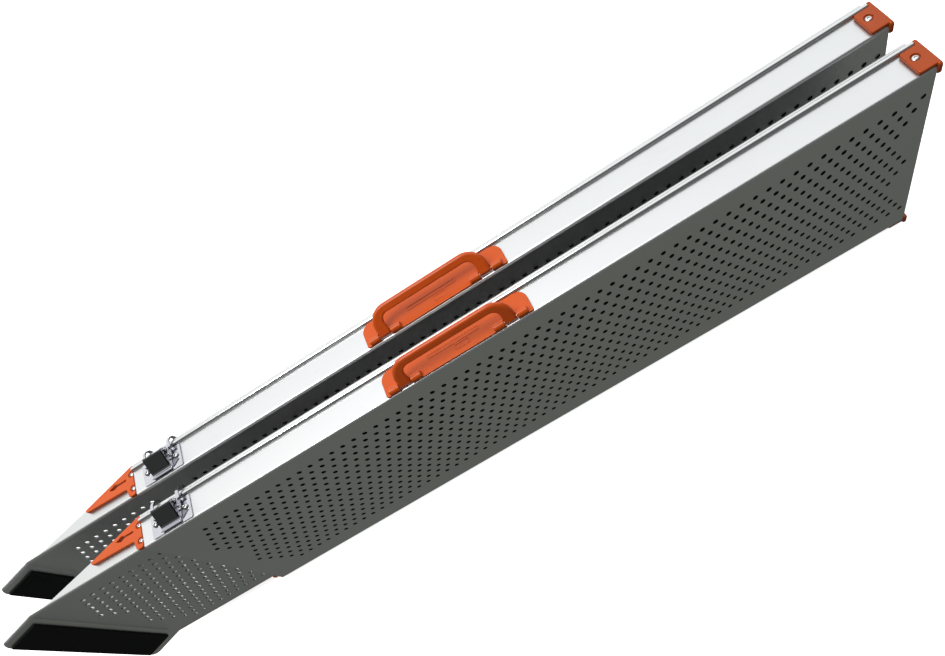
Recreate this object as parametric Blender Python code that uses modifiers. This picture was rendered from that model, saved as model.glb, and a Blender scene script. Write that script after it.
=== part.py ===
"""A pair of portable wheelchair ramps: two identical two-section telescopic channel tracks.

Both tracks stand on their lower side wall, side by side, with the wheel troughs open towards +Y.
X runs along the length (nose at -X), Y across the depth of the side walls, Z across the width.
Inside this file a track has its own coordinates: x from the front edge of its outer channel,
y from the outer face of its running plate, z up from the surface that it stands on.
"""

import math

import bmesh
import bpy
from mathutils import Matrix, Vector

MM = 0.001

# ---- outer channel -------------------------------------------------------------------------
LENGTH = 1016.5 * MM        # outer channel, end to end
WIDTH = 264.5 * MM          # over the side walls
SHEET = 2.5 * MM            # plate and walls of the outer channel
FOLD_R = 4.2 * MM           # outside radius of the folds
BEAD_Y = 38.9 * MM          # centre of the rolled edge, from the plate's outer face
BEAD_R = 3.5 * MM
BEAD_UP = 2 * BEAD_R - SHEET            # how far the rolled edge stands above the wall
TOP = WIDTH + BEAD_UP                   # outer face of the upper wall
MIDDLE = TOP - WIDTH / 2                # the plane the outer channel is symmetric about
# ---- inner channel -------------------------------------------------------------------------
INSET = 4.2 * MM            # inner channel's upper and plate faces inside the outer channel's
IN_WIDTH = 248.5 * MM
IN_SHEET = 2.3 * MM
IN_MIDDLE = TOP - INSET - IN_WIDTH / 2  # the plane the inner channel is symmetric about
IN_BEAD_Y = 45.1 * MM
IN_BEAD_R = 3.3 * MM
IN_REAR = LENGTH - 3.0 * MM
IN_FRONT = -0.3 * MM        # where the full-depth walls start
KINK_X = -192.0 * MM        # where the nose is bent outwards
NOSE = 51.5 * MM
NOSE_ANGLE = math.radians(19.2)
NOSE_LIP = 3.0 * MM         # depth left of the walls along the nose
NOSE_CORNER = 9.0 * MM
TAPER_END = (-164.7 * MM, 7.2 * MM)
TAPER_TOP = (-29.6 * MM, 41.3 * MM)     # the rolled edge starts behind this, at IN_FRONT
# ---- rubber pad under the nose -------------------------------------------------------------
PAD_START, PAD_END = 8.8 * MM, 50.8 * MM
PAD_SIDES = (12.6 * MM, 15.8 * MM)      # from the inner channel's upper and lower edges
PAD_THICK = 2.2 * MM
# ---- end caps ------------------------------------------------------------------------------
CAP_IN = 18.5 * MM          # length over the wall
CAP_FLANGE = 4.2 * MM       # thickness of the flange over the channel's end
CAP_DROP = 9.0 * MM         # how far the flange reaches down over the end
CAP_SCREW = (-9.4 * MM, 21.5 * MM)
# ---- wedges at the mouth of the inner channel -----------------------------------------------
WEDGE_THICK = 4.9 * MM
WEDGE_SCREW_X = -4.1 * MM
WEDGE_SCREW_Y = (34.0 * MM, 13.2 * MM)
# ---- carry handle ----------------------------------------------------------------------------
HANDLE_X = 453.9 * MM
BASE_HALF = 96.8 * MM
BASE_Y = (1.8 * MM, 35.0 * MM)
BASE_THICK = 2.6 * MM
LEG_X = 69.5 * MM           # centre of each leg from the handle's middle
LEG_W = 15.0 * MM
GRIP_Y = (27.0 * MM, 38.0 * MM)          # folded flat
GRIP_Z = (3.2 * MM, 9.0 * MM)
LEG_END_R = 3.0 * MM
PIVOT_Y, PIVOT_Z = 5.5 * MM, 4.8 * MM
KNUCKLE_R = 4.3 * MM
KNUCKLE_L = 13.5 * MM
PIN_R = 1.5 * MM
FRONT_HANDLE_RAISED = math.radians(68)
BACK_HANDLE_RAISED = math.radians(50)
# ---- toggle latch ----------------------------------------------------------------------------
LATCH_X = 46.0 * MM
LATCH_HALF = 30.0 * MM
LATCH_THICK = 1.5 * MM
LEVER_PIN = (31.5 * MM, 10.0 * MM)      # y, and height above the wall
HOOK_PIN = (24.0 * MM, 7.0 * MM)
LEVER_HALF = 14.6 * MM
LUG_IN, LUG_OUT = 15.0 * MM, 16.4 * MM
ARM_IN, ARM_OUT = 17.2 * MM, 19.0 * MM
STRAP_OUT = 21.5 * MM
COVER_TILT = math.atan2(13.2, 18.2)
# ---- hidden strips ---------------------------------------------------------------------------
GLIDE = (120 * MM, 300 * MM)
STOP_X = (975 * MM, 995 * MM)
# ---- the pair --------------------------------------------------------------------------------
SPACING = 74.8 * MM         # from one track's plate to the other's
GAP = 0.3 * MM              # clearance between pieces that touch

CAP_END = LENGTH + GAP + CAP_FLANGE
TIP_X = KINK_X - NOSE * math.cos(NOSE_ANGLE)
PAD_FACE = 0.3 * MM + PAD_THICK
TIP_Y = INSET - PAD_END * math.sin(NOSE_ANGLE) - PAD_FACE * math.cos(NOSE_ANGLE)
HOOK_BACK = 54.4 * MM
ORIGIN = Vector(((TIP_X + CAP_END) / 2, (TIP_Y + SPACING + HOOK_BACK) / 2, 0))

COLOURS = {  # base colour, metallic, roughness
    "aluminium": ((0.80, 0.81, 0.82), 1.0, 0.38),
    "aluminium_inner": ((0.72, 0.73, 0.74), 1.0, 0.42),
    "orange_plastic": ((0.62, 0.105, 0.026), 0.0, 0.36),
    "orange_grip": ((0.60, 0.095, 0.022), 0.0, 0.32),
    "black_rubber": ((0.004, 0.005, 0.005), 0.0, 0.75),
    "black_cover": ((0.028, 0.031, 0.030), 0.0, 0.55),
    "chrome": ((0.83, 0.83, 0.85), 1.0, 0.12),
    "chrome_lever": ((0.80, 0.80, 0.82), 1.0, 0.18),
    "zinc_steel": ((0.70, 0.69, 0.67), 1.0, 0.28),
    "glide_polymer": ((0.72, 0.72, 0.70), 0.0, 0.45),
}

YZ = Matrix(((0, 0, 1, 0), (1, 0, 0, 0), (0, 1, 0, 0), (0, 0, 0, 1)))   # outline y,z, extruded along x
XZ = Matrix(((1, 0, 0, 0), (0, 0, -1, 0), (0, 1, 0, 0), (0, 0, 0, 1)))  # outline x,z, extruded along y
XY = Matrix.Identity(4)


# ---- helpers -----------------------------------------------------------------------------------
def clear_scene():
    for obj in list(bpy.data.objects):
        bpy.data.objects.remove(obj, do_unlink=True)


def collection(name):
    made = bpy.data.collections.new(name)
    bpy.context.scene.collection.children.link(made)
    return made


def material(name):
    made = bpy.data.materials.get(name)
    if made:
        return made
    colour, metallic, roughness = COLOURS[name.split("/")[0]]
    made = bpy.data.materials.new(name)
    made.use_nodes = True
    shader = made.node_tree.nodes["Principled BSDF"]
    shader.inputs["Base Color"].default_value = (*colour, 1)
    shader.inputs["Metallic"].default_value = metallic
    shader.inputs["Roughness"].default_value = roughness
    made.diffuse_color = (*colour, 1)
    return made


def evaluated_mesh(obj):
    """The object's mesh with its modifiers and its matrix applied, welded, with its normals outwards."""
    bpy.context.view_layer.update()
    graph = bpy.context.evaluated_depsgraph_get()
    mesh = bpy.data.meshes.new_from_object(obj.evaluated_get(graph), depsgraph=graph)
    mesh.transform(obj.matrix_world)
    work = bmesh.new()
    work.from_mesh(mesh)
    bmesh.ops.remove_doubles(work, verts=work.verts, dist=1e-6)
    bmesh.ops.recalc_face_normals(work, faces=work.faces)
    work.to_mesh(mesh)
    work.free()
    mesh.materials.clear()
    return mesh


def as_work(mesh, name="work"):
    obj = bpy.data.objects.new(name, mesh)
    obj.hide_render = True
    obj.display_type = "WIRE"
    CUTTERS.objects.link(obj)
    return obj


def slab(outlines, depth, plane=XY, at=(0, 0, 0), bevel=0.0, bevel_steps=1):
    """A flat outline with the given thickness, centred on `at` along the extrusion."""
    curve = bpy.data.curves.new("outline", "CURVE")
    curve.dimensions = "2D"
    curve.fill_mode = "BOTH"
    curve.extrude = depth / 2 - bevel
    curve.bevel_depth = bevel
    curve.offset = -bevel
    curve.bevel_resolution = bevel_steps - 1
    curve.resolution_u = 1
    for points in outlines:
        spline = curve.splines.new("POLY")
        spline.points.add(len(points) - 1)
        for made, point in zip(spline.points, points):
            made.co = (point[0], point[1], 0, 1)
        spline.use_cyclic_u = True
    guide = bpy.data.objects.new("outline", curve)
    guide.matrix_world = Matrix.Translation(at) @ plane
    CUTTERS.objects.link(guide)
    mesh = evaluated_mesh(guide)
    bpy.data.objects.remove(guide, do_unlink=True)
    return as_work(mesh)


def rounded(corners, steps=3):
    """An outline with its corners rounded: corners are (u, v, radius)."""
    points = []
    count = len(corners)
    for i, (u, v, radius) in enumerate(corners):
        here = Vector((u, v))
        if radius <= 0:
            points.append(here)
            continue
        before = (Vector(corners[i - 1][:2]) - here).normalized()
        after = (Vector(corners[(i + 1) % count][:2]) - here).normalized()
        half = before.angle(after) / 2
        reach = radius / math.tan(half)
        centre = here + (before + after).normalized() * (radius / math.sin(half))
        start, end = here + before * reach - centre, here + after * reach - centre
        turn = start.angle_signed(end)
        for k in range(steps + 1):
            angle = -turn * k / steps
            points.append(centre + Matrix.Rotation(angle, 2) @ start)
    return points


def circle(u, v, radius, sides=12, start=0.0):
    return [
        (u + radius * math.cos(start + 2 * math.pi * k / sides), v + radius * math.sin(start + 2 * math.pi * k / sides))
        for k in range(sides)
    ]


def cylinder(radius, start, end, axis, at, sides=14):
    """A cylinder along an axis ("X" or "Z"), from start to end on it, through `at` on the other two."""
    bpy.ops.mesh.primitive_cylinder_add(vertices=sides, radius=radius, depth=abs(end - start))
    obj = bpy.context.object
    middle = (start + end) / 2
    if axis == "X":
        obj.matrix_world = Matrix.Translation((middle, at[0], at[1])) @ Matrix.Rotation(math.pi / 2, 4, "Y")
    else:
        obj.matrix_world = Matrix.Translation((at[0], at[1], middle))
    mesh = evaluated_mesh(obj)
    bpy.data.objects.remove(obj, do_unlink=True)
    return as_work(mesh)


def box(x, y, z, bevel=0.0, matrix=None):
    """A block between the given limits, with an optional Bevel."""
    bpy.ops.mesh.primitive_cube_add(size=1)
    obj = bpy.context.object
    obj.data.transform(
        Matrix.Translation(((x[0] + x[1]) / 2, (y[0] + y[1]) / 2, (z[0] + z[1]) / 2))
        @ Matrix.Diagonal((x[1] - x[0], y[1] - y[0], z[1] - z[0], 1))
    )
    if bevel:
        modifier = obj.modifiers.new("Bevel", "BEVEL")
        modifier.width = bevel
        modifier.segments = 1
    if matrix is not None:
        obj.matrix_world = matrix
    mesh = evaluated_mesh(obj)
    bpy.data.objects.remove(obj, do_unlink=True)
    return as_work(mesh)


def turned(profile, at, steps=9):
    """A profile of (radius, height) from the top down, turned about a vertical axis at `at`."""
    mesh = bpy.data.meshes.new("profile")
    work = bmesh.new()
    verts = [work.verts.new((r, 0, z)) for r, z in profile]
    for a, b in zip(verts, verts[1:]):
        work.edges.new((a, b))
    work.to_mesh(mesh)
    work.free()
    obj = bpy.data.objects.new("profile", mesh)
    CUTTERS.objects.link(obj)
    modifier = obj.modifiers.new("Screw", "SCREW")
    modifier.axis = "Z"
    modifier.steps = modifier.render_steps = steps
    modifier.use_merge_vertices = True
    modifier.merge_threshold = 1e-5
    obj.matrix_world = Matrix.Translation(at)
    made = evaluated_mesh(obj)
    bpy.data.objects.remove(obj, do_unlink=True)
    return as_work(made)


def join(first, *others, operation="UNION"):
    """Boolean of the first work object with the others, left as the first object's mesh."""
    for other in others:
        modifier = first.modifiers.new("Boolean", "BOOLEAN")
        modifier.operation = operation
        modifier.solver = "EXACT"
        modifier.object = other
    mesh = evaluated_mesh(first)
    first.modifiers.clear()
    first.data = mesh
    first.matrix_world = XY
    for other in others:
        bpy.data.objects.remove(other, do_unlink=True)
    return first


def cut(first, *others):
    return join(first, *others, operation="DIFFERENCE")


def above(height):
    """World height of a point that lies `height` above the upper wall's outer face."""
    return TOP + height


# ---- pieces of one track -----------------------------------------------------------------------
PIECES = {}


def piece(name, work, look, pivot=(0, 0, 0), group="outer"):
    """Keeps a finished mesh, moved so that its own origin lies at `pivot`."""
    mesh = work.data
    mesh.name = name
    mesh.transform(Matrix.Translation(-Vector(pivot)))
    mesh.materials.append(material(look))
    mesh.shade_smooth()
    mesh.set_sharp_from_angle(angle=math.radians(32))
    PIECES[name] = (mesh, Vector(pivot), group)
    bpy.data.objects.remove(work, do_unlink=True)


def mirrored(name, twin):
    """The twin of a piece on the lower wall."""
    mesh, pivot, group = PIECES[twin]
    middle = IN_MIDDLE if group == "inner" else MIDDLE
    made = mesh.copy()
    made.name = name
    made.transform(Matrix.Translation((0, 0, 2 * middle)) @ Matrix.Diagonal((1, 1, -1, 1)))
    made.flip_normals()
    PIECES[name] = (made, pivot, group)


def half_section(face, top, sheet, fold, bead_y, bead_r, steps=10):
    """Upper half of a channel's section, as (y, z) from the middle of the plate's outer face to its inner face."""
    points = []
    for k in range(4):  # outer fold
        angle = math.pi - k * math.pi / 6
        points.append((face + fold + fold * math.cos(angle), top - fold + fold * math.sin(angle)))
    centre_z = top - sheet + bead_r
    start = math.pi + math.asin((centre_z - top) / bead_r)
    for k in range(steps + 1):  # rolled edge
        angle = start + (-math.pi / 2 - start) * k / steps
        points.append((bead_y + bead_r * math.cos(angle), centre_z + bead_r * math.sin(angle)))
    inner = fold - sheet
    for k in range(3):  # inner fold
        angle = math.pi / 2 + k * math.pi / 4
        points.append((face + fold + inner * math.cos(angle), top - fold + inner * math.sin(angle)))
    return points


def section(upper, middle):
    """The whole section of a channel from its upper half."""
    lower = [(y, 2 * middle - z) for y, z in reversed(upper)]
    return upper + lower


def channel(upper, middle, x0, x1):
    return slab([section(upper, middle)], x1 - x0, YZ, ((x0 + x1) / 2, 0, 0))


def outer_channel():
    body = channel(half_section(0, TOP, SHEET, FOLD_R, BEAD_Y, BEAD_R), MIDDLE, 0, LENGTH)
    holes = []
    for x, y in screw_places():
        holes.append(cylinder(2.3 * MM, above(-6 * MM), above(2 * MM), "Z", (x, y), 12))
    x, y = LENGTH + CAP_SCREW[0], CAP_SCREW[1]
    holes.append(cylinder(2.3 * MM, -2 * MM, BEAD_UP + 6 * MM, "Z", (x, y), 12))
    piece("outer_channel", cut(body, *holes), "aluminium")


def screw_places():
    """Where screws pass through the outer channel's upper wall."""
    return [
        (LENGTH + CAP_SCREW[0], CAP_SCREW[1]),
        (LATCH_X - 23 * MM, 20 * MM),
        (LATCH_X + 23 * MM, 20 * MM),
        (HANDLE_X - 30 * MM, 17 * MM),
        (HANDLE_X + 30 * MM, 17 * MM),
    ]


def nose_matrix():
    """From nose coordinates (along, out of the plate, z) to the track's."""
    return Matrix.Translation((KINK_X, INSET, 0)) @ Matrix.Rotation(NOSE_ANGLE, 4, "Z")


def inner_channel():
    top = TOP - INSET
    section_half = half_section(INSET, top, IN_SHEET, FOLD_R, IN_BEAD_Y, IN_BEAD_R)
    body = channel(section_half, IN_MIDDLE, KINK_X, IN_REAR)
    far = 60 * MM
    taper = [
        TAPER_END, TAPER_TOP, (IN_FRONT, TAPER_TOP[1]), (IN_FRONT, far), (KINK_X - far, far),
        (KINK_X - far, TAPER_END[1]),
    ]
    body = cut(body, slab([taper], 0.3, XY, (0, 0, IN_MIDDLE)))
    holes = []
    for y in WEDGE_SCREW_Y:
        holes.append(cylinder(1.9 * MM, above(-INSET - 5 * MM), above(-INSET + 2 * MM), "Z", (WEDGE_SCREW_X, y), 10))
        low = 2 * IN_MIDDLE - above(-INSET)
        holes.append(cylinder(1.9 * MM, low - 2 * MM, low + 5 * MM, "Z", (WEDGE_SCREW_X, y), 10))
    body = cut(body, *holes)
    # the nose: the same plate with low lips, turned outwards at the kink, its two tip corners rounded
    inner = FOLD_R - IN_SHEET
    lip = []
    for k in range(4):
        angle = math.pi - k * math.pi / 6
        lip.append((FOLD_R + FOLD_R * math.cos(angle), top - FOLD_R + FOLD_R * math.sin(angle)))
    lip += [(FOLD_R, top - IN_SHEET)]
    for k in (1, 2):
        angle = math.pi / 2 + k * math.pi / 4
        lip.append((FOLD_R + inner * math.cos(angle), top - FOLD_R + inner * math.sin(angle)))
    nose = slab([section(lip, IN_MIDDLE)], NOSE + 3 * MM, YZ, ((3 * MM - NOSE) / 2, 0, 0))
    high, low = top + MM, 2 * IN_MIDDLE - top - MM
    outline = rounded([
        (20 * MM, high, 0), (20 * MM, low, 0), (-NOSE, low, NOSE_CORNER), (-NOSE, high, NOSE_CORNER),
    ], 4)
    nose = join(nose, slab([outline], 0.05, XZ), operation="INTERSECT")
    nose = cut(nose, box((-0.1, 0.1), (NOSE_LIP, 0.02), (0, 0.3)))
    nose.data.transform(nose_matrix())
    piece("inner_channel", join(body, nose), "aluminium_inner", group="inner")


def nose_pad():
    high = TOP - INSET - PAD_SIDES[0]
    low = TOP - INSET - IN_WIDTH + PAD_SIDES[1]
    pad = box((-PAD_END, -PAD_START), (-PAD_FACE, -GAP), (low, high), 0.6 * MM)
    pad.data.transform(nose_matrix())
    piece("nose_pad", pad, "black_rubber", group="inner")


def end_cap():
    x0, x1 = LENGTH - CAP_IN, CAP_END
    rise = BEAD_UP
    pad_y = (1.6 * MM, 34.9 * MM)
    outline = rounded([
        (x0, pad_y[0], 1.2 * MM), (x1 - MM, pad_y[0], 0), (x1 - MM, pad_y[1], 0), (x0, pad_y[1], 1.2 * MM),
    ])
    pad = slab([outline], rise - GAP, XY, (0, 0, above((rise + GAP) / 2)), 0.5 * MM)
    flange = rounded([
        (-1.8 * MM, above(-CAP_DROP), 1.5 * MM), (42.8 * MM, above(-CAP_DROP), 3 * MM),
        (42.8 * MM, above(rise), 3.5 * MM), (-1.8 * MM, above(rise), 3.0 * MM),
    ], 3)
    end = slab([flange], CAP_FLANGE, YZ, (LENGTH + GAP + CAP_FLANGE / 2, 0, 0))
    x, y = LENGTH + CAP_SCREW[0], CAP_SCREW[1]
    bore = cylinder(5.0 * MM, above(rise - 2.2 * MM), above(rise + 5 * MM), "Z", (x, y), 16)
    hole = cylinder(2.3 * MM, above(-MM), above(rise + MM), "Z", (x, y), 12)
    piece("end_cap_top", cut(join(pad, end), bore, hole), "orange_plastic")
    mirrored("end_cap_bottom", "end_cap_top")


def screw(name, x, y, seat, head_r, head_h, tip, socket_r=1.5 * MM, look="zinc_steel", group="outer", shank=1.9 * MM):
    """A button-head screw whose head sits on height `seat` above the wall and whose shank ends at `tip`."""
    top = seat + head_h
    profile = [
        (0, top - 1.1 * MM), (socket_r, top - 1.1 * MM), (socket_r, top), (head_r * 0.8, top - 0.2 * MM),
        (head_r, top - 0.9 * MM), (head_r, seat), (shank, seat), (shank, tip), (0, tip),
    ]
    profile = [(r, above(z)) for r, z in profile]
    piece(name, turned(profile, (x, y, 0)), look, group=group)


def cap_screws():
    seat = BEAD_UP - 2.2 * MM + GAP
    screw("cap_screw_top", LENGTH + CAP_SCREW[0], CAP_SCREW[1], seat, 3.8 * MM, 1.8 * MM, -2.9 * MM)
    mirrored("cap_screw_bottom", "cap_screw_top")


def wedge():
    outline = rounded([
        (-0.6 * MM, 46.6 * MM, 0.8 * MM), (-0.6 * MM, 3.4 * MM, 2.5 * MM), (-11.0 * MM, 3.0 * MM, 3.5 * MM),
        (-13.6 * MM, 16.6 * MM, 3.0 * MM), (-79.8 * MM, 18.8 * MM, 1.2 * MM), (-82.5 * MM, 23.3 * MM, 1.5 * MM),
    ])
    slot = [
        (-12.5 * MM, 31.1 * MM), (-26 * MM, 31.1 * MM), (-31.5 * MM, 33.2 * MM), (-37 * MM, 30.6 * MM),
        (-43.5 * MM, 29.4 * MM), (-32.5 * MM, 26.6 * MM), (-27 * MM, 28.9 * MM), (-12.5 * MM, 28.9 * MM),
    ]
    low, high = -INSET + GAP, -INSET + GAP + WEDGE_THICK
    body = slab([outline, slot], WEDGE_THICK, XY, (0, 0, above((low + high) / 2)))
    cuts = []
    for y in WEDGE_SCREW_Y:
        cuts.append(cylinder(4.1 * MM, above(high - 2.4 * MM), above(high + 4 * MM), "Z", (WEDGE_SCREW_X, y), 16))
        cuts.append(cylinder(1.9 * MM, above(low - MM), above(high), "Z", (WEDGE_SCREW_X, y), 10))
    piece("wedge_top", cut(body, *cuts), "orange_plastic", group="inner")
    mirrored("wedge_bottom", "wedge_top")
    for i, y in enumerate(WEDGE_SCREW_Y, 1):
        name = f"wedge_screw_top_{i}"
        screw(name, WEDGE_SCREW_X, y, high - 2.4 * MM + GAP, 3.1 * MM, 1.9 * MM, -INSET - IN_SHEET,
              1.3 * MM, group="inner", shank=1.5 * MM)
        mirrored(f"wedge_screw_bottom_{i}", name)


def handle_base():
    x0, x1 = HANDLE_X - BASE_HALF, HANDLE_X + BASE_HALF
    y0, y1 = BASE_Y
    leg0, leg1 = LEG_X - LEG_W / 2 - 0.5 * MM, LEG_X + LEG_W / 2 + 0.5 * MM
    back = 11.6 * MM
    outline = rounded([(x0, y0, 1.5 * MM), (x1, y0, 1.5 * MM), (x1, y1, 13 * MM), (x0, y1, 13 * MM)], 4)
    body = slab([outline], BASE_THICK, XY, (0, 0, above(GAP + BASE_THICK / 2)))
    for side in (-1, 1):  # a notch under each leg
        a, b = sorted((HANDLE_X + side * leg0, HANDLE_X + side * leg1))
        body = cut(body, box((a, b), (y0 - 4 * MM, back), (above(-MM), above(8 * MM))))
    knuckles, bores = [], []
    for side in (-1, 1):
        for near, far in ((leg0, leg0 - KNUCKLE_L), (leg1, leg1 + KNUCKLE_L)):
            a, b = sorted((HANDLE_X + side * near, HANDLE_X + side * far))
            knuckles.append(cylinder(KNUCKLE_R, a, b, "X", (PIVOT_Y, above(PIVOT_Z)), 16))
        bores.append(cylinder(PIN_R + GAP, HANDLE_X + side * 52 * MM, HANDLE_X + side * 86 * MM, "X",
                              (PIVOT_Y, above(PIVOT_Z)), 12))
    bores += [cylinder(1.7 * MM, above(-MM), above(2 * MM), "Z", (HANDLE_X + dx * MM, 17 * MM), 10) for dx in (-30, 30)]
    piece("handle_base", cut(join(body, *knuckles), *bores), "orange_plastic")
    for i, side in enumerate((-1, 1), 1):
        a, b = sorted((HANDLE_X + side * 53 * MM, HANDLE_X + side * 85 * MM))
        piece(f"handle_pin_{i}", cylinder(PIN_R, a, b, "X", (PIVOT_Y, above(PIVOT_Z)), 12), "zinc_steel")
        # countersunk from inside the channel, so the head lies in the gap between the two walls
        head, under, tip = -3.8 * MM, -2.8 * MM, 1.7 * MM
        profile = [(0, above(tip)), (1.4 * MM, above(tip)), (1.4 * MM, above(under)),
                   (3.6 * MM, above(under)), (3.2 * MM, above(head)), (0, above(head))]
        piece(f"handle_screw_{i}", turned(profile, (HANDLE_X + side * 30 * MM, 17 * MM, 0)), "zinc_steel")


def handle_bail():
    out, inside = LEG_X + LEG_W / 2, LEG_X - LEG_W / 2
    low = PIVOT_Y
    outline = rounded([
        (HANDLE_X - out, low, 0), (HANDLE_X - inside, low, 0), (HANDLE_X - inside, GRIP_Y[0], 13 * MM),
        (HANDLE_X + inside, GRIP_Y[0], 13 * MM), (HANDLE_X + inside, low, 0), (HANDLE_X + out, low, 0),
        (HANDLE_X + out, GRIP_Y[1], 22 * MM), (HANDLE_X - out, GRIP_Y[1], 22 * MM),
    ], 5)
    body = slab([outline], GRIP_Z[1] - GRIP_Z[0], XY, (0, 0, above(sum(GRIP_Z) / 2)), 2.3 * MM, 2)
    ends, bores = [], []
    for side in (-1, 1):
        a, b = sorted((HANDLE_X + side * inside, HANDLE_X + side * out))
        ends.append(cylinder(LEG_END_R, a + 0.1 * MM, b - 0.1 * MM, "X", (PIVOT_Y, above(PIVOT_Z)), 16))
        bores.append(cylinder(PIN_R + GAP, a - MM, b + MM, "X", (PIVOT_Y, above(PIVOT_Z)), 12))
    pivot = (HANDLE_X, PIVOT_Y, above(PIVOT_Z))
    piece("handle_bail", cut(join(body, *ends), *bores), "orange_grip", pivot, group="bail")


def latch_plate():
    x0, x1 = LATCH_X - LATCH_HALF, LATCH_X + LATCH_HALF
    outline = rounded([(x0, 3 * MM, MM), (x1, 3 * MM, MM), (x1, 34.6 * MM, MM), (x0, 34.6 * MM, MM)], 2)
    holes = [circle(LATCH_X + dx * MM, 20 * MM, 2.3 * MM) for dx in (-23, 23)]
    body = slab([outline, *holes], LATCH_THICK, XY, (0, 0, above(GAP + LATCH_THICK / 2)))
    y, z = LEVER_PIN
    wide = 3.1 * MM
    lugs = []
    for side in (-1, 1):
        lug = [(y - wide - MM, above(MM)), (y + wide, above(MM))]
        lug += [(y + wide * math.cos(k * math.pi / 6), above(z) + wide * math.sin(k * math.pi / 6)) for k in range(7)]
        middle = LATCH_X + side * (LUG_IN + LUG_OUT) / 2
        lugs.append(slab([lug, circle(y, above(z), 1.8 * MM, 10)], LUG_OUT - LUG_IN, YZ, (middle, 0, 0)))
    piece("latch_plate", join(body, *lugs), "chrome")
    for i, dx in enumerate((-23, 23), 1):
        screw(f"latch_screw_{i}", LATCH_X + dx * MM, 20 * MM, GAP + LATCH_THICK + GAP, 3.8 * MM, 2.6 * MM, -2.9 * MM)
    a, b = LATCH_X - 16.9 * MM, LATCH_X + 16.9 * MM
    piece("latch_lever_pin", cylinder(1.5 * MM, a, b, "X", (y, above(z)), 12), "zinc_steel")


def latch_lever():
    """The lever: a sheet sloping down from the hinge to a curled finger lip, with a flange along each side."""
    t = 1.2 * MM
    path = [(29.8, 17.0), (11.3, 3.9), (7.6, 2.9), (4.9, 3.4), (3.7, 5.2)]
    path = [Vector((y * MM, z * MM)) for y, z in path]
    upper, lower = [], []
    for i, here in enumerate(path):
        ahead = (path[min(i + 1, len(path) - 1)] - path[max(i - 1, 0)]).normalized()
        side = Vector((ahead.y, -ahead.x))
        if side.y < 0:
            side = -side
        upper.append(here + side * t)
        lower.append(here)
    sheet = [(p.x, above(p.y)) for p in upper + lower[::-1]]
    body = slab([sheet], 2 * LEVER_HALF, YZ, (LATCH_X, 0, 0))
    (ay, az), (by, bz) = LEVER_PIN, HOOK_PIN
    flange = [(30.3 * MM, above(17.4 * MM))]
    flange += [(ay + 3.2 * MM * math.cos(a), above(az) + 3.2 * MM * math.sin(a)) for a in (0.5, -0.3, -1.1)]
    flange += [(by + 2.8 * MM * math.cos(a), above(bz) + 2.8 * MM * math.sin(a)) for a in (-1.2, -1.9)]
    flange += [(13.5 * MM, above(4.6 * MM)), (13.5 * MM, above(5.6 * MM))]
    holes = [circle(ay, above(az), 1.8 * MM, 10), circle(by, above(bz), 1.6 * MM, 10)]
    sides = []
    for side in (-1, 1):
        middle = LATCH_X + side * (LEVER_HALF - 0.7 * MM)
        sides.append(slab([flange, *holes], 1.4 * MM, YZ, (middle, 0, 0)))
    pivot = (LATCH_X, ay, above(az))
    piece("latch_lever", join(body, *sides), "chrome_lever", pivot, group="lever")
    # black cover on the sheet
    frame = Matrix.Translation((LATCH_X, 29.8 * MM, above(17.0 * MM))) @ Matrix.Rotation(
        math.atan2(17.0 - 3.9, 29.8 - 11.3), 4, "X")
    cover = box((-14 * MM, 14 * MM), (-22.2 * MM, -0.6 * MM), (t + GAP, t + GAP + 1.6 * MM), 0.4 * MM)
    cover.data.transform(frame)
    piece("latch_cover", cover, "black_cover", pivot, group="lever")
    a, b = LATCH_X - 19.4 * MM, LATCH_X + 19.4 * MM
    piece("latch_hook_pin", cylinder(1.3 * MM, a, b, "X", (by, above(bz)), 12), "zinc_steel", pivot, group="lever")


def latch_hook():
    """Two thin arms from the lever, each widening into a strap over both rolled edges, with a bar behind them."""
    by, bz = HOOK_PIN
    eye = [(by + 2.9 * MM * math.cos(a), above(bz) + 2.9 * MM * math.sin(a)) for a in (1.5, 2.3, 3.1, 3.9, 4.7)]
    arm = eye + [(y * MM, above(z * MM)) for y, z in ((29.5, 5.4), (39.0, 5.4), (40.0, 9.7), (32.0, 9.7))]
    strap = [(y * MM, above(z * MM)) for y, z in (
        (35.6, 7.8), (44.2, 7.8), (47.6, 6.2), (50.4, 3.2), (51.8, -0.8), (51.6, -8.0), (49.0, -10.5), (49.0, -13.0),
        (51.8, -13.0), (54.2, -8.5), (54.2, -0.5), (52.4, 4.4), (48.8, 8.2), (44.4, 9.8), (35.6, 9.8))]
    parts = []
    for side in (-1, 1):
        middle = LATCH_X + side * (ARM_IN + ARM_OUT) / 2
        parts.append(slab([arm, circle(by, above(bz), 1.6 * MM, 10)], ARM_OUT - ARM_IN, YZ, (middle, 0, 0)))
        middle = LATCH_X + side * (ARM_IN - 0.1 * MM + STRAP_OUT) / 2
        parts.append(slab([strap], STRAP_OUT - ARM_IN + 0.1 * MM, YZ, (middle, 0, 0)))
    a, b = LATCH_X - ARM_IN - 0.9 * MM, LATCH_X + ARM_IN + 0.9 * MM
    bar = box((a, b), (49.3 * MM, 51.7 * MM), (above(-12.8 * MM), above(-10.2 * MM)))
    pivot = (LATCH_X, by, above(bz))
    piece("latch_hook", join(parts[0], bar, *parts[1:]), "chrome", pivot, group="hook")


def strips():
    y = (12 * MM, 28 * MM)
    piece("glide_strip_top", box(GLIDE, y, (above(-INSET + GAP), above(-SHEET - GAP))), "glide_polymer")
    low = (above(-WIDTH + SHEET + GAP), above(-INSET - IN_WIDTH - GAP))
    piece("glide_strip_bottom", box(GLIDE, y, low), "glide_polymer")
    stop = box(STOP_X, (SHEET + GAP, INSET - GAP), (MIDDLE - 40 * MM, MIDDLE + 40 * MM))
    piece("stop_strip", stop, "glide_polymer", group="inner")


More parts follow.
